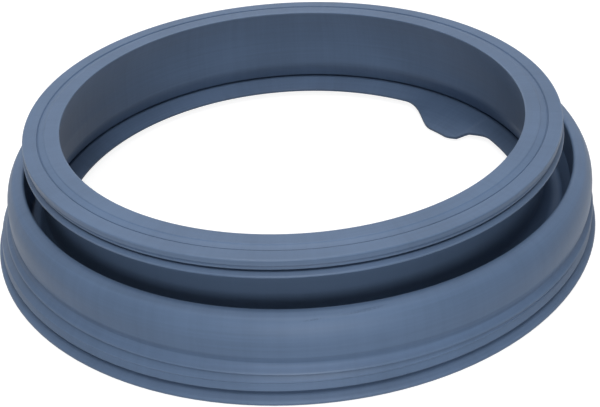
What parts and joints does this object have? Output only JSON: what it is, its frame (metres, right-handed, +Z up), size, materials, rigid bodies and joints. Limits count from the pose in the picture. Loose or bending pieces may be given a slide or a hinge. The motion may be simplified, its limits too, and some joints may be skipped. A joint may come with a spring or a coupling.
{
  "type": "washing machine door seal",
  "caption": "Round rubber door seal with a grooved collar, a deep gutter, a hollow bellows fold, a clamped foot ring and an inner lip with one tongue.",
  "frame": {"origin": "on the axis of the foot ring, in the plane that the foot stands on", "axes": "+Z up from the foot ring to the collar's face, -Y towards the viewer of the picture, +X to the right"},
  "size_m": [0.3798, 0.3798, 0.0735],
  "materials": {
    "rubber": "matt moulded blue-grey rubber with a faint sheen at grazing angles"
  },
  "bodies": {
    "root": {"door_seal": "rubber"}
  },
  "joints": []
}
